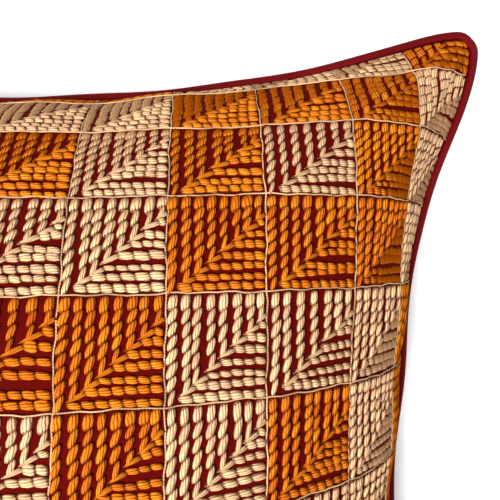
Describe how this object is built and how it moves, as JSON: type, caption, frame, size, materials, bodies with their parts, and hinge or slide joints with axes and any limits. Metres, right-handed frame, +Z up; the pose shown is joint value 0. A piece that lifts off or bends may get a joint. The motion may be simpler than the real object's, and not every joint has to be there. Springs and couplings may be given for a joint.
{
  "type": "embroidered cushion",
  "caption": "Square filled cushion lying on its back, with an embroidered crowned face, drawn-in sides, pointed corners and a piped seam.",
  "frame": {"origin": "centre of the rest surface under the cushion, halfway between the sides and ends", "axes": "+Z up out of the embroidered face, +X to the right and +Y to the top of that face, along the cushion's sides"},
  "size_m": [0.4547, 0.4543, 0.126],
  "materials": {
    "cover_cloth": "matt dark red cotton, the ground of orange and cream yarn embroidery",
    "piping_cloth": "smooth dark red cotton piping with a slight sheen"
  },
  "bodies": {
    "root": {"cushion": "cover_cloth", "piping": "piping_cloth"}
  },
  "joints": []
}
